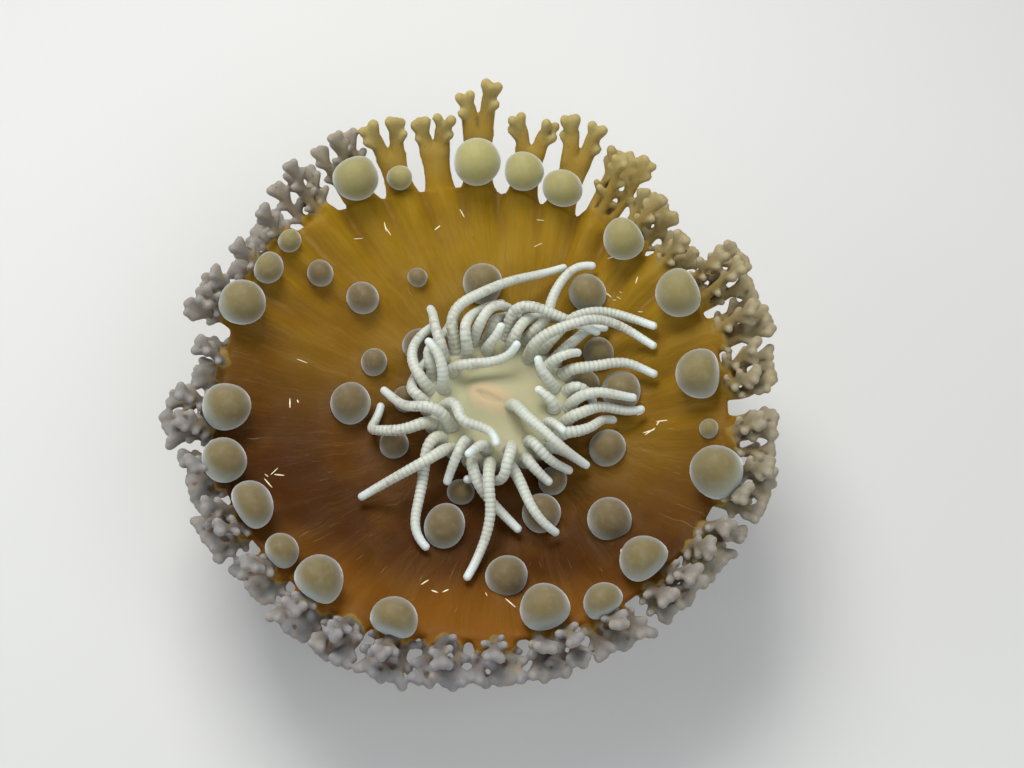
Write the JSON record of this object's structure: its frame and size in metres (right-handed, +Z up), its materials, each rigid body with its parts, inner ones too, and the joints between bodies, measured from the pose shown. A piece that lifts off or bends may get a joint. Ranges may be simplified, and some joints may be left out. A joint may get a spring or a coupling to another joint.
{
  "type": "sea anemone",
  "caption": "Collared sea anemone on a short column: a dished collar with forked fronds and round vesicles at its rim, and a crown of slender tentacles round the mouth.",
  "frame": {"origin": "centre of the pedal disc's flat underside, at floor level", "axes": "+Z up, from the pedal disc to the mouth; +Y towards the side of the collar with the longest fronds, +X to the right when looking along +Y"},
  "size_m": [0.0409, 0.0446, 0.0195],
  "materials": {
    "pedal": "moist flesh, pale brown",
    "column": "moist flesh, brown",
    "collar": "moist translucent flesh, golden to reddish brown",
    "frond": "moist flesh, golden stalks with grey fingertips and grey-beige vesicles",
    "oral_disc": "moist flesh, pale olive with cream lips",
    "tentacle": "moist translucent flesh, greyish white"
  },
  "bodies": {
    "root": {"pedal_disc": "pedal", "column": "column", "capitulum": "column", "collar_1": "collar", "collar_2": "collar", "collar_3": "collar", "collar_4": "collar", "collar_5": "collar", "collar_6": "collar", "collar_7": "collar", "collar_8": "collar", "collar_9": "collar", "frond_01": "frond", "frond_02": "frond", "frond_03": "frond", "frond_04": "frond", "frond_05": "frond", "frond_06": "frond", "frond_07": "frond", "frond_08": "frond", "frond_09": "frond", "frond_10": "frond", "frond_11": "frond", "frond_12": "frond", "frond_13": "frond", "frond_14": "frond", "frond_15": "frond", "frond_16": "frond", "frond_17": "frond", "frond_18": "frond", "frond_19": "frond", "frond_20": "frond", "frond_21": "frond", "frond_22": "frond", "frond_23": "frond", "frond_24": "frond", "frond_25": "frond", "frond_26": "frond", "frond_27": "frond", "frond_28": "frond", "frond_29": "frond", "frond_30": "frond", "frond_31": "frond", "frond_32": "frond", "oral_disc": "oral_disc", "tentacles_1": "tentacle", "tentacles_2": "tentacle", "tentacles_3": "tentacle", "tentacles_4": "tentacle", "tentacles_5": "tentacle", "tentacles_6": "tentacle", "tentacles_7": "tentacle", "tentacles_8": "tentacle"}
  },
  "joints": []
}
